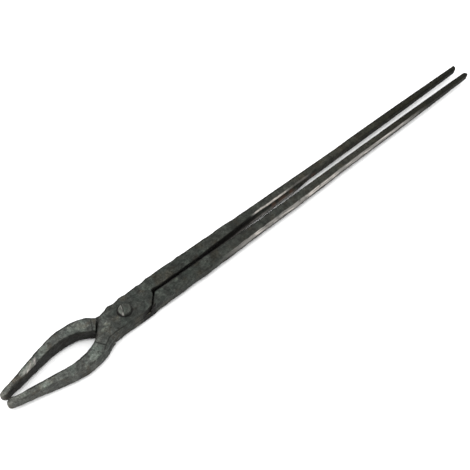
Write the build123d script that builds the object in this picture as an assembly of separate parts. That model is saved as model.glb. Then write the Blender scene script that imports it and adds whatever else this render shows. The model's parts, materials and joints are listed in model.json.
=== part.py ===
from build123d import *
import os
from math import hypot

# Long-reined crucible tongs: two hand-forged halves crossing at one rivet.
# Frame: the rivet axis is Z, with Z = 0 on the flat crown of the rivet's tail, the
# lowest point of the tongs. The jaws reach along -X and the reins along +X.
# Both halves are the same forging: the lower one is turned over about the long axis.

# --- Driving dimensions, mm -------------------------------------------------------
JAW_REACH = 101.8            # rivet axis to the jaw tips
REIN_REACH = 393.4           # rivet axis to the rein ends

BOSS_THICKNESS = 5.5         # each half, half the thickness of the bar at the crossing
BOSS_HALF_WIDTH = 11.2       # to either side of the long axis
BOSS_EDGE_ROUND = 1.3        # worn outer edge of the boss
LAP_GAP = 0.1                # running gap between the two bosses

SHANK_RADIUS = 3.15          # 1/4 inch rivet
SHANK_CLEARANCE = 0.05       # radial, in the upper half, which turns on the shank
HEAD_RADIUS = 5.35
HEAD_HEIGHT = 2.7
HEAD_GAP = 0.05              # running gap under the head
HEAD_FLAT_RADIUS = 2.6       # hammered flat on the crown of the head
TAIL_RADIUS = 4.9
TAIL_HEIGHT = 1.4
TAIL_FLAT_RADIUS = 3.4       # flat crown that the tongs rest on

END_CHAMFER = 0.6            # burr taken off the cut rein ends

MID_HEIGHT = TAIL_HEIGHT + BOSS_THICKNESS + LAP_GAP / 2     # lap plane
BOSS_TOP = MID_HEIGHT + LAP_GAP / 2 + BOSS_THICKNESS

# Bar sections of one half, seen from above with the lap plane at Z = 0.
# Each row: point on the inner edge, point on the outer edge, height, corner radius.
JAW_SECTIONS = [
    ((-JAW_REACH, -3.2), (-JAW_REACH, -4.0), 3.0, 0.35),     # blunt rounded tip
    ((-101.4, -2.4), (-101.4, -4.9), 4.6, 1.1),
    ((-100.6, -1.5), (-100.7, -5.6), 6.2, 1.5),
    ((-99.4, -0.9), (-99.6, -6.0), 7.4, 1.7),
    ((-97.2, -0.5), (-97.7, -6.4), 8.4, 1.8),
    ((-91.0, -3.0), (-92.1, -8.2), 9.0, 1.8),
    ((-79.5, -5.3), (-81.0, -11.1), 9.8, 1.8),
    ((-67.5, -7.1), (-69.5, -14.4), 10.4, 1.9),
    ((-57.0, -8.9), (-59.0, -17.2), 10.8, 2.0),
    ((-48.5, -9.6), (-48.5, -19.5), 11.0, 2.0),              # widest part of the bow
    ((-41.0, -8.7), (-38.5, -19.0), 11.0, 2.0),
    ((-33.5, -5.9), (-29.0, -16.7), 11.0, 2.0),
    ((-27.5, -2.0), (-20.5, -13.0), 10.8, 2.0),              # neck
    ((-22.0, 2.0), (-13.0, -10.6), 10.8, 2.0),               # buried in the boss
]
REIN_SECTIONS = [
    ((12.0, 1.0), (12.0, 10.8), 10.6, 2.2),                  # buried in the boss
    ((28.0, 0.75), (28.0, 11.9), 10.4, 2.2),
    ((45.0, 0.75), (45.0, 12.3), 9.4, 2.0),
    ((84.0, 1.1), (84.0, 11.8), 8.4, 1.8),
    ((125.0, 3.0), (125.0, 11.4), 7.8, 1.6),
    ((165.0, 3.1), (165.0, 11.0), 7.6, 1.5),
    ((215.0, 3.1), (215.0, 10.1), 7.4, 1.5),
    ((310.0, 3.4), (310.0, 9.6), 6.7, 1.4),
    ((REIN_REACH, 4.0), (REIN_REACH, 8.6), 5.6, 1.3),
]

# Plan of the boss, from the corner beside the other jaw, clockwise seen from above.
JAW_SIDE_CORNER = (-16.8, 9.1)
CREST = [(-7.0, 10.9), (4.0, BOSS_HALF_WIDTH)]
REIN_ROOT = [(30.0, 11.6), (30.0, 1.2)]                      # buried in the rein
BOSS_END = [(25.4, 0.9), (24.6, -2.0), (17.2, -9.6), (9.0, -BOSS_HALF_WIDTH)]
JAW_ROOT = [(-12.0, -11.2), (-20.5, -13.0), (-26.3, -15.4), (-30.4, -5.0), (-24.3, 0.7)]
CORNER_ROUND = 2.5
SHOULDER_CLEARANCE = 1.3                # between one boss's end and the other's rein
# Where the full-height jaw begins, following the side of the other half's neck.
JAW_SHOULDER = [(-29.4, 4.6), (-25.2, -0.6), (-18.9, -7.7), (-18.2, -14.0)]
CUT_REACH = 20.0                        # past the sides of the boss
CUT_DEPTH = 12.0


def bar(sections):
    """One bar, ruled from each upright rounded section to the next."""
    faces = []
    for (x_in, y_in), (x_out, y_out), height, corner in sections:
        across = Vector(x_out - x_in, y_out - y_in, 0)
        middle = Vector((x_in + x_out) / 2, (y_in + y_out) / 2, 0)
        plane = Plane(origin=middle, x_dir=across, z_dir=across.cross(Vector(0, 0, 1)))
        width = hypot(x_out - x_in, y_out - y_in)
        faces.append(plane * RectangleRounded(width, height, corner))
    return loft(faces, ruled=True)


def boss_plan():
    """Outline of the boss with its exposed corners rounded."""
    points = [JAW_SIDE_CORNER, *CREST, *REIN_ROOT, *BOSS_END, *JAW_ROOT]
    face = make_face(Polyline(*points, close=True))
    rounded = [JAW_SIDE_CORNER, BOSS_END[2]]
    corners = [v for v in face.vertices() if (v.X, v.Y) in rounded]
    return fillet(corners, CORNER_ROUND)


def boss():
    """Half-thickness plate round the rivet, above the lap plane."""
    plate = extrude(boss_plan(), BOSS_THICKNESS)
    top_edges = plate.edges().group_by(Axis.Z)[-1]
    return Pos(0, 0, LAP_GAP / 2) * fillet(top_edges, BOSS_EDGE_ROUND)


def lap_cut():
    """Room under the lap plane for the other half's boss."""
    past_end = [(x + SHOULDER_CLEARANCE, -y) for x, y in BOSS_END]
    last_x, last_y = past_end[-1]
    past_end[-1] = (last_x, last_y + SHOULDER_CLEARANCE)
    right_side = [(past_end[0][0], -CUT_REACH), *past_end, (last_x, CUT_REACH)]
    left_side = [(JAW_SHOULDER[0][0], CUT_REACH), *JAW_SHOULDER, (JAW_SHOULDER[-1][0], -CUT_REACH)]
    face = make_face(Polyline(*right_side, *left_side, close=True))
    return Pos(0, 0, LAP_GAP / 2) * extrude(face, -CUT_DEPTH)


def rein():
    """Rein with the burr taken off its cut end."""
    solid = bar(REIN_SECTIONS)
    return chamfer(solid.faces().sort_by(Axis.X)[-1].edges(), END_CHAMFER)


def half(hole_radius):
    """One forging: jaw, boss and rein in a single solid, drilled for the rivet."""
    forging = bar(JAW_SECTIONS) + rein() + boss()
    return forging - lap_cut() - Cylinder(hole_radius, 2 * CUT_DEPTH)


def upper_half():
    """Half with its boss on top; it turns on the rivet shank."""
    return Pos(0, 0, MID_HEIGHT) * half(SHANK_RADIUS + SHANK_CLEARANCE)


def lower_half():
    """The same forging turned over, tight on the rivet."""
    return Pos(0, 0, MID_HEIGHT) * Rot(180, 0, 0) * half(SHANK_RADIUS)


def rivet():
    """Shank, low hammered head and flattened tail, as one turned profile."""
    head_base = BOSS_TOP + HEAD_GAP
    head_top = head_base + HEAD_HEIGHT
    with BuildPart() as solid:
        with BuildSketch(Plane.XZ):
            with BuildLine():
                Line((0, 0), (TAIL_FLAT_RADIUS, 0))
                Line((TAIL_FLAT_RADIUS, 0), (TAIL_RADIUS, TAIL_HEIGHT / 2))
                Line((TAIL_RADIUS, TAIL_HEIGHT / 2), (TAIL_RADIUS, TAIL_HEIGHT))
                Line((TAIL_RADIUS, TAIL_HEIGHT), (SHANK_RADIUS, TAIL_HEIGHT))
                Line((SHANK_RADIUS, TAIL_HEIGHT), (SHANK_RADIUS, head_base))
                Line((SHANK_RADIUS, head_base), (HEAD_RADIUS, head_base))
                TangentArc((HEAD_RADIUS, head_base), (HEAD_FLAT_RADIUS, head_top), tangent=(0, 1))
                Line((HEAD_FLAT_RADIUS, head_top), (0, head_top))
                Line((0, head_top), (0, 0))
            make_face()
        revolve(axis=Axis.Z)
    return solid.part


NODES = {"upper_half": upper_half, "lower_half": lower_half, "rivet": rivet}

os.makedirs("parts", exist_ok=True)
for name, build in NODES.items():
    export_step(build(), f"parts/{name}.step")
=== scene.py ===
import json
from math import cos, radians, sin

import bmesh
import bpy
import numpy as np
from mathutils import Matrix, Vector, noise


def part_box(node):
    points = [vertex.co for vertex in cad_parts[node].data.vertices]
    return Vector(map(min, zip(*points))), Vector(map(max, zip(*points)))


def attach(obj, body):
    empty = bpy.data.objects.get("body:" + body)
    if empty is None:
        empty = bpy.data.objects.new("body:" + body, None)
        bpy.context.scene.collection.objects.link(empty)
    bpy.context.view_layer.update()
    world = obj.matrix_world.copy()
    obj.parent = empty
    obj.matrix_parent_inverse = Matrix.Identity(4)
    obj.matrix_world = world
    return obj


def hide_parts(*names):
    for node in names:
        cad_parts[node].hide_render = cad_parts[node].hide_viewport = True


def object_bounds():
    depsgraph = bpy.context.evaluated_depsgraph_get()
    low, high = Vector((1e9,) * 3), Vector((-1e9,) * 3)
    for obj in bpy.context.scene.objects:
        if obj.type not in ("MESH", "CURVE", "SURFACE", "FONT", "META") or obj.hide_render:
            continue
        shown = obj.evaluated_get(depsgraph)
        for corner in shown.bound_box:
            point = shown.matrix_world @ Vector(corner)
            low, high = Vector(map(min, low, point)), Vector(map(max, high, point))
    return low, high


# Hand-forged crucible tongs. Each forging is a fresh skin of even quads over its CAD node,
# hammered in mesh code, with a node material of forge scale. Lengths in the shaping code are
# millimetres; the meshes themselves are in metres.

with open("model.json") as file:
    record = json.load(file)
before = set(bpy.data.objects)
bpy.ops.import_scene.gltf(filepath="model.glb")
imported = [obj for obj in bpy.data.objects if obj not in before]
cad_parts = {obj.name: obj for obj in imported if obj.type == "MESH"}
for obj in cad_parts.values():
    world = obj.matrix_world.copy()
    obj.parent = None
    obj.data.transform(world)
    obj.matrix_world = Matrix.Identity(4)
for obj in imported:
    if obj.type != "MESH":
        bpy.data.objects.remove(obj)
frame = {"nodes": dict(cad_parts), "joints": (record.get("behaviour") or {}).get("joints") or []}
cad_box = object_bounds()

MM = 0.001
PIVOT = Vector(frame["joints"][0]["pos_m"])
LAP_Z = PIVOT.z / MM                        # the plane where the two bosses meet
TIP_X = cad_box[0].x / MM
END_X = cad_box[1].x / MM
BOSS_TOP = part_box("upper_half")[1].z / MM
HEAD_RADIUS = (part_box("rivet")[1] / MM).x
FLOOR_Z = cad_box[0].z


# --- Mesh arrays --------------------------------------------------------------------

def read_points(mesh):
    """Vertex positions in millimetres."""
    flat = np.empty(3 * len(mesh.vertices), np.float32)
    mesh.vertices.foreach_get("co", flat)
    return flat.reshape(-1, 3).astype(float) / MM


def write_points(mesh, points):
    mesh.vertices.foreach_set("co", (points * MM).astype(np.float32).ravel())
    mesh.update()


def read_normals(mesh, points):
    """Vertex normals of the mesh with its vertices at these points."""
    write_points(mesh, points)
    flat = np.empty(3 * len(mesh.vertices), np.float32)
    mesh.vertex_normals.foreach_get("vector", flat)
    return flat.reshape(-1, 3).astype(float)


def read_edges(mesh):
    flat = np.empty(2 * len(mesh.edges), np.int32)
    mesh.edges.foreach_get("vertices", flat)
    return flat.reshape(-1, 2)


def neighbour_mean(values, edges):
    """Mean of each vertex's neighbours."""
    count = len(values)
    start, end = edges.T
    valence = np.bincount(start, minlength=count) + np.bincount(end, minlength=count)
    total = np.empty_like(values)
    for axis in range(values.shape[1]):
        column = values[:, axis]
        total[:, axis] = np.bincount(start, column[end], count)
        total[:, axis] += np.bincount(end, column[start], count)
    return total / valence[:, None]


def relax(points, edges, weight, rounds):
    """Smooths the skin without shrinking it: each soft pass is followed by one that pushes back."""
    for _ in range(rounds):
        for push in (0.5, -0.52):
            points = points + push * weight[:, None] * (neighbour_mean(points, edges) - points)
    return points


def blur(values, edges, rounds):
    for _ in range(rounds):
        values = 0.5 * values + 0.5 * neighbour_mean(values[:, None], edges)[:, 0]
    return values


def ramp(values, start, end):
    """0 before start, 1 after end, smooth between; start may be the larger."""
    t = np.clip((values - start) / (end - start), 0, 1)
    return t * t * (3 - 2 * t)


def hill(values, start, end, slope):
    """1 between start and end, falling to 0 over the slope outside them."""
    return ramp(values, start - slope, start) * ramp(values, end + slope, end)


def cloud(points, size, seed):
    """Smooth noise from -1 to 1, with features about as wide as size."""
    shift = Vector((seed * 19.1, seed * 7.7, seed * 3.3))
    return np.array([noise.noise(Vector(point) / size + shift) for point in points])


def save_mask(mesh, name, values):
    attribute = mesh.attributes.new(name, "FLOAT", "POINT")
    attribute.data.foreach_set("value", np.clip(values, 0, 1).astype(np.float32))


# --- Forging ------------------------------------------------------------------------

ANYWHERE = 1e-9                             # keeps a blow possible at every vertex


def blank(name, node, quad):
    """A closed skin of even quads over a CAD node, with quads of about the given size."""
    skin = bmesh.new()
    skin.from_mesh(frame["nodes"][node].data)
    bmesh.ops.remove_doubles(skin, verts=skin.verts, dist=1e-7)
    mesh = bpy.data.meshes.new(name)
    skin.to_mesh(mesh)
    skin.free()
    piece = bpy.data.objects.new(name, mesh)
    bpy.context.scene.collection.objects.link(piece)
    remesh = piece.modifiers.new("even_quads", "REMESH")
    remesh.mode = "VOXEL"
    remesh.voxel_size = quad * MM
    depsgraph = bpy.context.evaluated_depsgraph_get()
    piece.data = bpy.data.meshes.new_from_object(piece.evaluated_get(depsgraph))
    piece.modifiers.clear()
    piece.data.name = name
    piece.data.materials.clear()
    return piece


def hammer(points, normals, rng, seats, count, reach, depth, tilt):
    """Hammer blows at random seats: each flattens what stands above its own tilted plane."""
    order = np.argsort(points[:, 0])
    along = points[order, 0]
    picks = rng.choice(len(points), count, p=seats / seats.sum())
    for pick in picks:
        centre, facing = points[pick], normals[pick]
        lean = rng.normal(0, tilt, 3)
        radius = reach * rng.uniform(0.7, 1.3)
        sink = depth * rng.uniform(0.5, 1.0)
        facing = facing + lean
        facing = facing / np.linalg.norm(facing)
        first, last = np.searchsorted(along, [centre[0] - radius, centre[0] + radius])
        near = order[first:last]
        offset = points[near] - centre
        height = offset @ facing + sink
        spread = np.linalg.norm(offset - np.outer(height - sink, facing), axis=1)
        faces = normals[near] @ facing
        struck = (height > 0) & (spread < radius) & (faces > 0.2)
        near, faces = near[struck], faces[struck]
        press = np.minimum(height[struck], 2.5 * sink)
        fade = ramp(spread[struck], radius, 0.45 * radius) * ramp(faces, 0.2, 0.6)
        points[near] -= np.outer(press * fade * seats[near] ** 0.5, facing)
    return points


QUAD = 0.5                                   # of the forgings' skins
# Hammer blows: how many, their radius, how deep they sink and how far they lean.
FACE_BLOWS = (900, 6.5, 0.07, 0.014)
CORNER_BLOWS = (260, 6.0, 0.12, 0.05)
PITS = [(3.0, 0.06), (1.3, 0.05)]            # size and depth
SMOOTH_START, SMOOTH_END = 60, 190           # along the reins, which are less beaten at their ends
LAP_START, LAP_END = -30, 32                 # where the bar is only half as thick

# Where each forging was drawn out fuller (+) or slimmer (-) than its pattern: side of the long
# axis, start, end and slope along X, outward move, and which levels it touches.
ANY_LEVEL, OVER_LAP, UNDER_LAP = (-99, -98), (LAP_Z, LAP_Z + 0.8), (LAP_Z + 0.8, LAP_Z)
SWELLS = {
    "upper_half": [
        (1, -10, 60, 4, 0.35, ANY_LEVEL),
        (1, -8.6, -5.6, 1.4, 0.7, ANY_LEVEL),
        (1, 3, 6.5, 1.4, 0.45, ANY_LEVEL),
        (1, 16.5, 19.5, 1.2, 0.5, ANY_LEVEL),
        (1, 29, 48, 5, 0.7, ANY_LEVEL),
        (1, 62, 104, 14, 0.55, ANY_LEVEL),
        (1, 150, 225, 30, -0.3, ANY_LEVEL),
        (-1, -31, -20, 4, -0.3, OVER_LAP),
    ],
    "lower_half": [
        (1, -84, -40, 8, 0.5, ANY_LEVEL),
        (1, -17, -12, 3, 1.0, UNDER_LAP),
        (1, -36, -24, 4, 0.9, ANY_LEVEL),
        (-1, 23, 60, 7, -0.7, ANY_LEVEL),
        (-1, 165, 200, 25, 0.3, ANY_LEVEL),
    ],
}
SWELL_FROM = (4, 8)                          # a swell fades in over these distances from the axis

# Lines in plan: the crease across the lower jaw's end, the cold shut across the upper neck,
# the end of the upper boss, and where the top of the upper neck ends along its outer side.
SHOULDER = [(-27.4, 1.3), (-25.4, 4.6), (-23.5, 8.0), (-22.0, 11.0)]
NECK_CREASE = [(-31.2, -6.5), (-29.2, -9.6), (-26.6, -14.6)]
BOSS_END = [(25.9, 2.0), (25.4, -2.2), (17.8, -10.2), (9.0, -11.8)]
NECK_BEVEL = [
    (-30.5, -16.2), (-26.5, -13), (-21.7, -10.3), (-16.3, -9.7), (-8.3, -10.2), (2, -10.4),
    (12, -10.8),
]
# X, and how far the lower boss's corner comes out there, under the neck.
NECK_FILL = [(-17, 2.3), (-14, 1.6), (-11, 0.8), (-7, 0)]

SHOULDER_SLOPE, NECK_SLOPE = 0.3, 0.5        # past the shoulder's crease and the neck's bevel
CREASE_WIDTH, CREASE_DEPTH = 0.6, 0.35
EVEN_REACH = 4.5                             # along X, in evening out the jaws
TIP_SPLAY = {"upper_half": 0.3, "lower_half": 1.0}            # jaw tips, outwards
REIN_LEAN = 1.9                              # of the upper rein's inner side
REIN_BEVEL = 7.0                             # length of the sheared rein ends
SHEAR_DOWN, SHEAR_IN = 2.4, 1.6              # how far they are set back below and inside
REIN_LIP, LIP_HEIGHT = 1.4, 0.4


def swell(points, side, start, end, slope, amount, levels):
    """Moves what lies well off the long axis, on one side, outwards."""
    weight = hill(points[:, 0], start, end, slope) * ramp(side * points[:, 1], *SWELL_FROM)
    weight = weight * ramp(points[:, 2], *levels)
    points[:, 1] += side * amount * weight


def even_jaw(points, side):
    """Draws the jaw's inner and outer outlines, seen from above, into smooth curves."""
    x, reach = points[:, 0], side * points[:, 1]
    stations = np.arange(-100.0, -20.0, 1.0)
    slices = [reach[(np.abs(x - station) < 0.8) & (reach > 0)] for station in stations]
    outlines = np.array([(cut.min(), cut.max()) for cut in slices]).T
    half_window = 12
    window = np.exp(-0.5 * (np.arange(-half_window, half_window + 1) / EVEN_REACH) ** 2)
    shifts = []
    for outline in outlines:
        padded = np.pad(outline, half_window, mode="reflect", reflect_type="odd")
        shifts.append(np.convolve(padded, window / window.sum(), mode="valid") - outline)
    inner, outer = (np.interp(x, stations, outline) for outline in outlines)
    share = np.clip((reach - inner) / np.maximum(outer - inner, 1), 0, 1)
    shift_in, shift_out = (np.interp(x, stations, shift) for shift in shifts)
    move = (shift_in + (shift_out - shift_in) * share) * hill(x, -92, -36, 4)
    points[:, 1] += side * np.where(reach > 0, move, 0)


def distance_to_line(points, line):
    """Distance in plan to a line of points."""
    plan = points[:, :2]
    nearest = np.full(len(points), 1e9)
    for start, end in zip(line[:-1], line[1:]):
        start, end = np.array(start), np.array(end)
        run = end - start
        t = np.clip(((plan - start) @ run) / (run @ run), 0, 1)
        nearest = np.minimum(nearest, np.linalg.norm(plan - start - np.outer(t, run), axis=1))
    return nearest


def past_bevel(points):
    """How far outside the neck's bevel line each point lies."""
    x, y, _ = points.T
    return np.interp(x, *np.array(NECK_BEVEL).T) - y


def looks_up(normals):
    return ramp(normals[:, 2], 0.3, 0.7)


def groove(points, normals, line, width, depth):
    """Cuts a shallow crease along a line in plan, into the faces that look up."""
    cut = np.exp(-(distance_to_line(points, line) / width) ** 2) * looks_up(normals)
    points[:, 2] -= cut * depth


def lean_rein(points):
    """The upper rein's inner side leans in towards its lower edge, along its middle stretch."""
    x, y, z = points.T
    stretch = ramp(x, 70, 105) * ramp(x, 196, 172)
    lower_edge = ramp(z, LAP_Z + 1.5, LAP_Z - 2.2) * ramp(y, 9, 4)
    points[:, 1] -= REIN_LEAN * stretch * lower_edge


def shear_end(points):
    """The cut end of a rein: set back towards its underside and inner side, with a lip on top."""
    x, y, z = points.T
    last = x > END_X - REIN_BEVEL
    top, low = z[last].max(), z[last].min()
    inner, outer = np.abs(y[last]).min(), np.abs(y[last]).max()
    down = np.clip((top - z) / (top - low), 0, 1)
    inwards = np.clip((outer - np.abs(y)) / (outer - inner), 0, 1)
    setback = SHEAR_DOWN * down + SHEAR_IN * inwards
    points[:, 0] -= ramp(x, END_X - REIN_BEVEL, END_X) * setback
    lip = ramp(x, END_X - 2 * REIN_LIP, END_X - 0.5 * REIN_LIP) * ramp(z, top - 1.6, top - 0.4)
    points[:, 2] += LIP_HEIGHT * lip


def ease_under_shoulder(points):
    """The upper jaw's end, below the lap: its outer corner is knocked off."""
    x, y, z = points.T
    limit = 13.6 - 0.35 * np.clip(x + 20.5, 0, 6)
    past = np.clip(-y - limit, 0, 5)
    at_corner = ramp(x, -23, -21) * ramp(x, -10, -13) * ramp(z, LAP_Z + 0.4, LAP_Z - 0.6)
    points[:, 1] += past * at_corner


def fill_under_neck(points):
    """The lower boss's corner is drawn out until it carries on the line of the upper jaw."""
    x, y, z = points.T
    weight = ramp(-y, 4, 9) * ramp(z, *UNDER_LAP)
    points[:, 1] -= np.interp(x, *np.array(NECK_FILL).T) * weight
    points[:, 0] -= 0.5 * ramp(x, -14, -16.5) * ramp(-y, 8, 10) * ramp(z, *UNDER_LAP)


def bevel_neck(points):
    """The upper half's neck and boss slope away past a line along their outer side."""
    x, _, z = points.T
    past = np.clip(past_bevel(points), 0, 3)
    stretch = ramp(x, -34, -31) * ramp(x, 12, 4)
    points[:, 2] -= NECK_SLOPE * past * stretch * ramp(z, LAP_Z + 2, BOSS_TOP)


def ease_shoulder(points):
    """The lower jaw's end slopes down towards the neck, and its outer corner is knocked off."""
    x, y, z = points.T
    start, end = np.array(SHOULDER[0]), np.array(SHOULDER[-1])
    run = (end - start) / np.linalg.norm(end - start)
    past_crease = (points[:, :2] - start) @ np.array([run[1], -run[0]])
    upper_part = ramp(z, LAP_Z + 1.0, BOSS_TOP - 1.5)
    clear_of_boss = ramp(np.hypot(x, y), 19.0, 19.6) * ramp(y, -3, 0) * ramp(x, -14, -16)
    points[:, 2] -= SHOULDER_SLOPE * np.clip(past_crease, 0, 5) * upper_part * clear_of_boss
    limit = 14.2 - 0.95 * np.clip(x + 23, 0, 7)
    at_corner = ramp(x, -24, -22) * ramp(x, -10, -13) * ramp(z, LAP_Z, LAP_Z + 1.2)
    points[:, 1] -= np.clip(y - limit, 0, 5) * at_corner


def lap_masks(points, normals, side):
    """The sliding face with the rivet hole, and the stretch where the bar is half as thick."""
    x, y, z = points.T
    in_lap = hill(x, LAP_START, LAP_END, 1.5)
    facing = ramp(side * normals[:, 2], 0.3, 0.8)
    lap = in_lap * facing * ramp(np.abs(z - LAP_Z), 1.6, 0.8)
    hole = ramp(np.hypot(x, y), 5.0, 4.2)
    return np.maximum(lap, hole), in_lap


def convexity(points, normals, edges, rounds):
    """How far each vertex stands above its neighbours, in millimetres, evened out."""
    above = ((points - neighbour_mean(points, edges)) * normals).sum(1)
    return blur(above, edges, rounds)


def shape_half(points, node, side):
    """Everything that sets one forging apart from its pattern, before it is hammered."""
    even_jaw(points, side)
    for bulge in SWELLS[node]:
        swell(points, *bulge)
    points[:, 1] += side * TIP_SPLAY[node] * ramp(points[:, 0], -84, -100)
    shear_end(points)
    if side > 0:
        ease_shoulder(points)
        fill_under_neck(points)
    else:
        ease_under_shoulder(points)
        bevel_neck(points)
        lean_rein(points)


def forge_half(name, node, side, seed):
    """One forging. side is -1 where its jaw lies on -Y and its boss on top, +1 for the other."""
    rng = np.random.default_rng(seed)
    piece = blank(name, node, QUAD)
    mesh = piece.data
    edges = read_edges(mesh)
    points = read_points(mesh)
    low, high = points.min(0), points.max(0)
    kept, in_lap = lap_masks(points, read_normals(mesh, points), side)
    free = 1 - kept

    shape_half(points, node, side)
    points = relax(points, edges, free * (1 - 0.65 * in_lap), 14)

    normals = read_normals(mesh, points)
    rough = 1 - 0.7 * ramp(points[:, 0], SMOOTH_START, SMOOTH_END)
    seats = free * rough + ANYWHERE
    points = hammer(points, normals, rng, seats, *FACE_BLOWS)
    normals = read_normals(mesh, points)
    corner = ramp(convexity(points, normals, edges, 3), 0.004, 0.03)
    points = hammer(points, normals, rng, seats * corner + ANYWHERE, *CORNER_BLOWS)
    if side < 0:
        groove(points, normals, NECK_CREASE, CREASE_WIDTH, CREASE_DEPTH)
    points = relax(points, edges, 0.6 * free, 2)

    normals = read_normals(mesh, points)
    pits = sum(cloud(points, size, seed + n) * depth for n, (size, depth) in enumerate(PITS))
    points += normals * (pits * free * (0.35 + 0.65 * rough))[:, None]
    points = np.clip(points, low, high)
    normals = read_normals(mesh, points)

    sheen_and_wear_mask = painted_sheen_upper if side < 0 else sheen_and_wear_lower
    save_mask(mesh, "ridge", 0.5 + convexity(points, normals, edges, 2) / 0.08)
    # Painted reflections and highlights, and worn metal on the lower jaw.
    save_mask(mesh, "wear_and_sheen", sheen_and_wear_mask(points, normals))
    # Painted shade, with dark file marks and darkened rein ends.
    save_mask(mesh, "shade_and_scale", shade_and_scale_mask(points, normals, side))
    save_mask(mesh, "pale", pale_mask(points, normals, PALE_SPOTS[node]))
    save_mask(mesh, "rust", rust_mask(points, normals, side))
    return piece


# --- Where the surface differs ------------------------------------------------------

def streaks(points):
    """Uneven strength of the painted sheen and wear, drawn out along the bar."""
    return 0.85 + 0.5 * cloud(points * [0.12, 1, 1], 1.5, 8)


def wander(points):
    """Slow sideways drift of the edges of the sheen and the worn places."""
    return cloud(points, 12, 3)


def painted_sheen_upper(points, normals):
    """Painted sheen on the upper rein's inner side: a bright highlight line, and a duller painted
    reflection of the shaded floor below.
    """
    x, _, z = points.T
    streak = streaks(points)
    line = hill(x, 135, 164, 8) + 0.3 * hill(x, 170, 190, 8)
    line = line * (0.9 + 0.2 * streak) * ramp(z + 0.2 * wander(points), LAP_Z + 2.0, LAP_Z + 2.4)
    lower_part = 0.75 * hill(x, 100, 172, 12) * streak * ramp(z, LAP_Z - 0.5, LAP_Z - 1.5)
    return np.maximum(line, lower_part) * ramp(-normals[:, 1], 0.3, 0.6)


def sheen_and_wear_lower(points, normals):
    """On the lower half: a painted reflection of the floor along the rein's side, and metal worn
    through the scale in a scratched patch on the jaw.
    """
    x, y, z = points.T
    drift = wander(points)
    strip = hill(x, 122, 290, 45) * ramp(-normals[:, 1], 0.5, 0.8)
    strip = 0.92 * strip * streaks(points) * ramp(z + 0.9 * drift, LAP_Z - 1.6, LAP_Z - 0.2)
    across = x - 0.8 * (y - 9) + 1.5 * drift
    inner_part = ramp(y - 0.32 * (x + 76), 10.0, 9.2)
    patch = hill(across, -79, -71, 1.5) * ramp(normals[:, 2], 0.5, 0.7) * inner_part
    along_scratches = np.column_stack((0.3 * (x + 0.9 * y), 0.9 * x - y, z))
    scratches = ramp(cloud(along_scratches, 1.6, 9), -0.3, 0.3)
    return np.maximum(strip, patch * (0.12 + 0.85 * scratches))


def painted_side_shade(points, normals, side):
    """Painted shade inside the jaws, between the reins, on the far sides and along the far and
    lower arrises.
    """
    x, facing = points[:, 0], normals[:, 1]
    jaw = hill(x, -98, -24, 4) * ramp(-side * facing, 0.25, 0.6) * (0.78 if side > 0 else 0.3)
    rein = hill(x, 24, 115, 30) * ramp(side * facing, 0.5, 0.85)
    far = 0.45 * ramp(facing, 0.45, 0.85)
    far_arris = 0.75 * hill(facing, 0.2, 0.7, 0.15)
    low_arris = 0.6 * hill(-normals[:, 2], 0.15, 0.75, 0.15)
    return [jaw, rein, far, far_arris, low_arris]


def crevice_shade_and_dark_end(points, normals):
    """Painted shade round the rivet's head, at the boss's end and along the lap, and a darkened cut
    end.
    """
    x, y, z = points.T
    ring = hill(np.hypot(x, y), HEAD_RADIUS - 1.5, HEAD_RADIUS + 0.3, 0.5)
    ring = 0.9 * ring * ramp(z, BOSS_TOP - 1, BOSS_TOP - 0.5)
    seam = ramp(distance_to_line(points, BOSS_END), 2.2, 1.2) * ramp(normals[:, 2], 0.95, 0.75)
    lap_line = ramp(np.abs(z - LAP_Z), 1.1, 0.3) * ramp(np.abs(normals[:, 2]), 0.7, 0.4)
    lap_line = 0.8 * lap_line * hill(x, -27, 25, 2)
    end = ramp(x, END_X - 3.2, END_X - 1.4)
    return [ring, seam, lap_line, end]


def upper_shade_and_marks(points, normals):
    """Painted shade in the upper half's cold shut, along its neck's bevel as a dark line and on its
    jaw's outer side; and the file marks past the bevel.
    """
    x, _, z = points.T
    up = looks_up(normals)
    crease = 0.7 * ramp(distance_to_line(points, NECK_CREASE), 0.7, 0.1) * up
    edge = ramp(distance_to_line(points, NECK_BEVEL), 0.9, 0.1) * up
    edge = edge * (0.8 - 0.45 * ramp(x, -12, 2))
    past = past_bevel(points)
    waves = np.sin(4.2 * (past + 0.75 * (BOSS_TOP - z)) + 0.6 * cloud(points, 9, 17))
    file_marks = 0.42 * ramp(waves, -0.2, 0.9) * ramp(past, 0.4, 1.0) * hill(x, -29, -1, 3)
    jaw_side = 0.35 * hill(x, -100, -32, 4) * ramp(-normals[:, 1], 0.3, 0.7)
    return [crease, edge, file_marks, jaw_side]


def lower_crease_shade(points, normals):
    """Painted shade in the crease across the lower jaw's end."""
    crease = ramp(distance_to_line(points, SHOULDER), 0.6, 0.1)
    return [0.85 * crease * ramp(normals[:, 2], 0.2, 0.5)]


def shade_and_scale_mask(points, normals, side):
    """Painted shade in crevices, creases, between the parts and on sides turned from the light,
    with dark file marks and darkened rein ends.
    """
    marks = upper_shade_and_marks if side < 0 else lower_crease_shade
    masks = painted_side_shade(points, normals, side) + crevice_shade_and_dark_end(points, normals)
    return np.maximum.reduce(masks + marks(points, normals))


def rust_mask(points, normals, side):
    """Rust on the inner side of the upper rein, below its painted highlight line."""
    x, _, z = points.T
    if side > 0:
        return np.zeros(len(points))
    rust = np.maximum(hill(x, 150, 172, 6), hill(x, 188, 200, 3)) * ramp(-normals[:, 1], 0.3, 0.6)
    return rust * ramp(z, LAP_Z + 2.4, LAP_Z + 1.2) * ramp(cloud(points, 5, 14), -0.4, 0.2)


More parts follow.
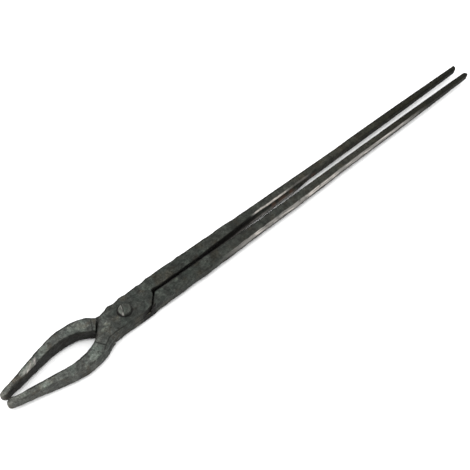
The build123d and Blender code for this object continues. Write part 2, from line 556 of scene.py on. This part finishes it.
# X, Y and radius.
PALE_SPOTS = {
    "upper_half": [
        (-33, -10.5, 5), (-38, -15.5, 5), (-17, -1, 3), (-21, -3, 2.5), (-76, -8, 6),
        (-90, -5.5, 4), (24, 6, 4),
    ],
    "lower_half": [
        (-31, 10, 5), (-36, 13, 4.5), (-62, 13, 5), (-78, 7.5, 4), (-74, 9, 4),
        # The first two spots here are a painted highlight at the rein's root.
        (28.5, -4.5, 4.2), (30, -6, 3), (44, -3, 3),
    ],
}


def pale_mask(points, normals, spots):
    """Lighter grey where the scale has worn or come away in flakes; the two spots at the lower
    rein's root are a painted highlight.
    """
    pale = np.zeros(len(points))
    for x, y, radius in spots:
        away = np.hypot(points[:, 0] - x, points[:, 1] - y)
        pale = np.maximum(pale, ramp(away, 1.3 * radius, 0.3 * radius))
    return pale * ramp(normals[:, 2], 0.3, 0.8)


# --- Materials ----------------------------------------------------------------------

class Paint:
    """A node material, with short calls for the nodes it is made of."""

    def __init__(self, name):
        self.material = bpy.data.materials.new(name)
        self.material.use_nodes = True
        self.tree = self.material.node_tree
        self.shader = self.tree.nodes["Principled BSDF"]
        place = self.node("ShaderNodeTexCoord").outputs["Object"]
        inputs = {"Vector": place, "Scale": (1 / MM,) * 3}
        self.spot = self.node("ShaderNodeMapping", inputs).outputs[0]

    def node(self, kind, inputs=None, **settings):
        made = self.tree.nodes.new(kind)
        for key, value in settings.items():
            setattr(made, key, value)
        for key, value in (inputs or {}).items():
            self.feed(made.inputs[key], value)
        return made

    def feed(self, socket, value):
        if isinstance(value, bpy.types.NodeSocket):
            self.tree.links.new(value, socket)
        else:
            socket.default_value = value

    def math(self, operation, first, second=0.0):
        inputs = {0: first, 1: second}
        return self.node("ShaderNodeMath", inputs, operation=operation).outputs[0]

    def noise(self, size, detail=4.0, roughness=0.6, distortion=0.0):
        """Noise from 0 to 1 with features of about the given size in millimetres."""
        inputs = {"Vector": self.spot, "Scale": 1 / size, "Detail": detail}
        inputs.update(Roughness=roughness, Distortion=distortion)
        return self.node("ShaderNodeTexNoise", inputs).outputs["Fac"]

    def span(self, value, low, high, to_low=0.0, to_high=1.0, curve="SMOOTHSTEP"):
        """The value, taken from the range low to high into to_low to to_high."""
        inputs = {"Value": value, "From Min": low, "From Max": high}
        inputs.update({"To Min": to_low, "To Max": to_high})
        return self.node("ShaderNodeMapRange", inputs, interpolation_type=curve).outputs[0]

    def mix(self, share, first, second, blend="MIX"):
        made = self.node("ShaderNodeMix", data_type="RGBA", blend_type=blend)
        self.feed(made.inputs["Factor"], share)
        self.feed(made.inputs[6], first)
        self.feed(made.inputs[7], second)
        return made.outputs[2]

    def times(self, colour, share, tint):
        """The colour, multiplied by the tint as far as share says."""
        return self.mix(share, colour, (*tint, 1), "MULTIPLY")

    def mask(self, name):
        return self.node("ShaderNodeAttribute", attribute_name=name).outputs["Fac"]

    def bands(self, value, stops):
        """Colour that changes with a value from 0 to 1, through (place, colour) stops."""
        made = self.node("ShaderNodeValToRGB", {"Fac": value})
        elements = made.color_ramp.elements
        while len(elements) < len(stops):
            elements.new(0.5)
        for element, (place, colour) in zip(elements, stops):
            element.position = place
            element.color = (*colour, 1)
        return made.outputs["Color"]


SHADE_AND_SCALE_BLACK = (0.006, 0.0058, 0.005, 1)
RUST_BROWN = (0.046, 0.029, 0.021, 1)
WEAR_AND_SHEEN_STEEL = (0.220, 0.209, 0.195, 1)
BRIGHT_WEAR_AND_SHEEN = (0.42, 0.39, 0.355, 1)
WARM_PATCH, COOL_PATCH = (0.94, 0.84, 0.76), (1.03, 1.10, 1.08)
PALE_SPECK, DARK_SPECK = (1.8, 1.8, 1.7), (0.55, 0.52, 0.48)
FLAKED_AND_LIT = (1.60, 1.66, 1.61)
WORN_RIDGE, DARK_HOLLOW = (1.3, 1.28, 1.24), (0.35, 0.35, 0.35)
# Size in millimetres, and the factors at its darkest and lightest.
GRAIN = [(9.0, 0.70, 1.36), (4.0, 0.70, 1.36), (1.6, 0.72, 1.34), (0.7, 0.78, 1.25)]


def scale_colour(paint, stops):
    """Colour along the forging, with warm and cool patches and four sizes of grain."""
    along = paint.node("ShaderNodeSeparateXYZ", {"Vector": paint.spot}).outputs["X"]
    along = paint.math("ADD", along, paint.span(paint.noise(14, 3), 0.3, 0.7, -8, 8))
    place = paint.span(along, TIP_X, END_X, curve="LINEAR")
    colour = paint.bands(place, [((x - TIP_X) / (END_X - TIP_X), tint) for x, tint in stops])

    patches = paint.noise(10, 4, 0.6, 0.6)
    colour = paint.times(colour, paint.span(patches, 0.50, 0.64), WARM_PATCH)
    colour = paint.times(colour, paint.span(patches, 0.48, 0.36), COOL_PATCH)
    for size, dark, light in GRAIN:
        noise = paint.noise(size, 4, 0.65, 0.4)
        shade = paint.span(noise, 0.36, 0.64, dark, light, "LINEAR")
        colour = paint.mix(1.0, colour, shade, "MULTIPLY")
    colour = paint.times(colour, paint.span(paint.noise(1.3, 2), 0.64, 0.74), PALE_SPECK)
    return paint.times(colour, paint.span(paint.noise(2.6, 3), 0.36, 0.28), DARK_SPECK)


def weather(paint, colour):
    """Pale places (flakes, wear, and painted light on the rivet's facet and the lower rein's root),
    worn ridges, darkened hollows, painted shade with dark file marks, and rust, from the masks on
    the mesh.
    """
    ragged = paint.span(paint.noise(2.2, 5, 0.7), 0.3, 0.7, -0.45, 0.45)
    flakes_and_lit = paint.math("ADD", paint.mask("pale"), ragged)
    colour = paint.times(colour, paint.span(flakes_and_lit, 0.25, 0.70), FLAKED_AND_LIT)
    ridge = paint.mask("ridge")
    worn = paint.span(paint.noise(4), 0.4, 0.6)
    worn = paint.math("MULTIPLY", paint.span(ridge, 0.6, 0.95), worn)
    colour = paint.times(colour, worn, WORN_RIDGE)
    colour = paint.times(colour, paint.span(ridge, 0.40, 0.05), DARK_HOLLOW)
    # Painted shade and dark file marks, mixed in towards near-black.
    colour = paint.mix(paint.mask("shade_and_scale"), colour, SHADE_AND_SCALE_BLACK)
    return paint.mix(paint.mask("rust"), colour, RUST_BROWN)


def forge_scale(name, stops):
    """Forge scale over steel, with worn places and painted highlights, reflections and shade from
    the masks. stops are (x in mm, colour) along the forging.
    """
    paint = Paint(name)
    colour = weather(paint, scale_colour(paint, stops))
    # Worn steel and painted reflections and highlights, mixed over the scale colour.
    wear_and_sheen_colour = paint.mix(paint.span(paint.mask("wear_and_sheen"), 0.85, 1.0), WEAR_AND_SHEEN_STEEL, BRIGHT_WEAR_AND_SHEEN)
    broken = paint.span(paint.noise(5, 4, 0.7), 0.26, 0.50, 0.25)
    wear_and_sheen = paint.math("MULTIPLY", paint.mask("wear_and_sheen"), broken)

    shader = paint.shader.inputs
    paint.feed(shader["Base Color"], paint.mix(wear_and_sheen, colour, wear_and_sheen_colour))
    paint.feed(shader["Roughness"], paint.span(paint.noise(3.0, 4), 0.3, 0.7, 0.42, 0.62))
    paint.feed(shader["Metallic"], paint.math("MULTIPLY", wear_and_sheen, 0.25))
    shader["Specular IOR Level"].default_value = 0.055
    fine = paint.math("MULTIPLY", paint.noise(0.6, 3), 0.3)
    height = paint.math("ADD", paint.noise(2.2, 6, 0.7), fine)
    inputs = {"Height": height, "Strength": 0.6, "Distance": 0.7 * MM}
    paint.feed(shader["Normal"], paint.node("ShaderNodeBump", inputs).outputs[0])
    return paint.material


# --- The rivet ----------------------------------------------------------------------

RIVET_QUAD = 0.22
RIVET_BLOWS = (30, 2.6, 0.2, 0.08)
HEAD_GAP = 0.04                              # under the head
RIVET_CREASE = [(0.6, 4.7), (-0.3, 2.4), (-1.0, 0.6), (-1.9, -1.2)]   # beside the facet
RIVET_HIGHLIGHT = [(-3.5, -2.8), (-3.0, -2.0)]   # a painted highlight on the facet's rim


def make_rivet():
    """The rivet: a low head hammered out of true, with a laid-over facet, and a flattened tail."""
    rng = np.random.default_rng(5)
    piece = blank("hammered_rivet", "rivet", RIVET_QUAD)
    mesh = piece.data
    edges = read_edges(mesh)
    points = read_points(mesh)
    low, high = points.min(0), points.max(0)
    points = relax(points, edges, np.ones(len(points)), 4)
    head = ramp(points[:, 2], BOSS_TOP + 0.2, BOSS_TOP + 0.8)
    tail = ramp(points[:, 2], 1.2, 0.8) * ramp(points[:, 2], 0.0, 0.3)
    normals = read_normals(mesh, points)
    seated = np.minimum(points[:, 2], BOSS_TOP + HEAD_GAP)
    points = hammer(points, normals, rng, head + 0.5 * tail + ANYWHERE, *RIVET_BLOWS)
    facet = ramp(points[:, 0] - 0.36 * points[:, 1], -1.1, -1.9) * head
    points[:, 2] -= facet * (0.3 + 0.24 * np.clip(-points[:, 0], 0, 6))
    groove(points, read_normals(mesh, points), RIVET_CREASE, 0.40, 0.40)
    points[:, 2] = np.maximum(points[:, 2], seated * ramp(points[:, 2], LAP_Z, LAP_Z + 1))
    points = np.clip(points, low, high)
    normals = read_normals(mesh, points)
    save_mask(mesh, "ridge", 0.5 + convexity(points, normals, edges, 2) / 0.05)
    # Painted highlights on the rivet's head, and a faint painted sheen over the facet.
    save_mask(mesh, "wear_and_sheen", np.maximum(rivet_painted_highlights(points), 0.13 * facet) * head)
    save_mask(mesh, "shade_and_scale", painted_rivet_shade(points, head))
    # The laid-over facet is painted lighter, as if it caught more light.
    save_mask(mesh, "pale", facet)
    return piece


def rivet_painted_highlights(points):
    """Painted highlights: a spot on the facet's rim and the upper lip of the crease."""
    spot = 0.8 * ramp(distance_to_line(points, RIVET_HIGHLIGHT), 0.8, 0.2)
    lip = 0.55 * ramp(distance_to_line(points + [0.5, 0, 0], RIVET_CREASE[:3]), 0.4, 0.1)
    return np.maximum(spot, lip)


def painted_rivet_shade(points, head):
    """Painted shade under the head's rim, on part of the rim itself, and in the crease."""
    x, y, z = points.T
    rim = ramp(z, BOSS_TOP + 0.8, BOSS_TOP + 0.4)
    near_rim = 0.8 * ramp(np.hypot(x, y), 4.3, 5.0) * ramp(-y + 0.5 * x, 1.0, 3.0) * head
    crease = 0.8 * ramp(distance_to_line(points, RIVET_CREASE), 0.5, 0.1) * head
    return np.maximum.reduce([rim, near_rim, crease]) * ramp(z, LAP_Z, BOSS_TOP)


# --- The pieces ---------------------------------------------------------------------

# Scale colour at places along X. It darkens from the jaw tips to the rein ends, partly as painted
# shade for the light falling off along the tongs.
SCALE_AND_FALLOFF_STOPS = [
    (TIP_X, (0.063, 0.064, 0.058)),
    (-60, (0.052, 0.055, 0.050)),
    (-30, (0.045, 0.047, 0.043)),
    (-12, (0.026, 0.028, 0.025)),
    (20, (0.025, 0.027, 0.024)),
    (50, (0.020, 0.022, 0.019)),
    (150, (0.020, 0.021, 0.018)),
    (240, (0.018, 0.018, 0.014)),
    (300, (0.007, 0.007, 0.004)),
    (END_X, (0.004, 0.004, 0.002)),
]
RIVET_STOPS = [(TIP_X, (0.031, 0.033, 0.029)), (END_X, (0.031, 0.033, 0.029))]


def finish_piece(piece, node, body, material):
    piece.data.materials.append(material)
    for face in piece.data.polygons:
        face.use_smooth = True
    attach(piece, body)
    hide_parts(node)


scale = forge_scale("forge_scale", SCALE_AND_FALLOFF_STOPS)
upper = forge_half("forged_upper_half", "upper_half", -1, 11)
finish_piece(upper, "upper_half", "upper", scale)
lower = forge_half("forged_lower_half", "lower_half", 1, 23)
finish_piece(lower, "lower_half", "lower", scale)
rivet = make_rivet()
finish_piece(rivet, "rivet", "lower", forge_scale("rivet_scale", RIVET_STOPS))


# --- Camera, floor and light --------------------------------------------------------

CAMERA_AZIMUTH = radians(43.59)              # from +Y towards +X
CAMERA_ELEVATION = radians(49.68)
CAMERA_DISTANCE = 0.656
CAMERA_LENS, CAMERA_SENSOR = 65.4, 36
AIM = Vector((0.1078, 0.0, 0.0073))
FLOOR_HALF = 6.0
FLOOR_TINTS = [(0.94, 0.94, 0.94, 1), (0.96, 0.96, 0.96, 1)]
SKY_STRENGTH = 1.6
LAMP_PLACE, LAMP_SIZE, LAMP_POWER = (-0.35, -0.15, 1.6), 1.2, 9


def make_camera():
    data = bpy.data.cameras.new("camera")
    data.sensor_width = CAMERA_SENSOR
    data.lens = CAMERA_LENS
    data.clip_start = 0.01
    camera = bpy.data.objects.new("camera", data)
    bpy.context.scene.collection.objects.link(camera)
    level = cos(CAMERA_ELEVATION)
    look = Vector((
        sin(CAMERA_AZIMUTH) * level,
        cos(CAMERA_AZIMUTH) * level,
        -sin(CAMERA_ELEVATION),
    ))
    camera.location = AIM - CAMERA_DISTANCE * look
    camera.rotation_euler = look.to_track_quat("-Z", "Y").to_euler()
    bpy.context.scene.camera = camera


def make_floor():
    corners = [(-1, -1), (1, -1), (1, 1), (-1, 1)]
    mesh = bpy.data.meshes.new("floor")
    mesh.from_pydata([(FLOOR_HALF * x, FLOOR_HALF * y, 0) for x, y in corners], [], [(0, 1, 2, 3)])
    floor = bpy.data.objects.new("floor", mesh)
    floor.location.z = FLOOR_Z
    bpy.context.scene.collection.objects.link(floor)
    paint = Paint("floor_paper")
    paint.feed(paint.shader.inputs["Base Color"], paint.mix(paint.noise(60, 3), *FLOOR_TINTS))
    paint.shader.inputs["Roughness"].default_value = 0.9
    paint.shader.inputs["Specular IOR Level"].default_value = 0.1
    mesh.materials.append(paint.material)


def make_lamp():
    data = bpy.data.lights.new("softbox", "AREA")
    data.shape = "DISK"
    data.size = LAMP_SIZE
    data.energy = LAMP_POWER
    lamp = bpy.data.objects.new("softbox", data)
    lamp.location = LAMP_PLACE
    lamp.rotation_euler = (AIM - Vector(LAMP_PLACE)).to_track_quat("-Z", "Y").to_euler()
    bpy.context.scene.collection.objects.link(lamp)


def make_world():
    world = bpy.data.worlds.new("studio")
    world.use_nodes = True
    background = world.node_tree.nodes["Background"]
    background.inputs["Color"].default_value = (1, 1, 1, 1)
    background.inputs["Strength"].default_value = SKY_STRENGTH
    bpy.context.scene.world = world


make_camera()
make_floor()
make_world()
make_lamp()
bpy.context.scene.view_settings.view_transform = "Standard"
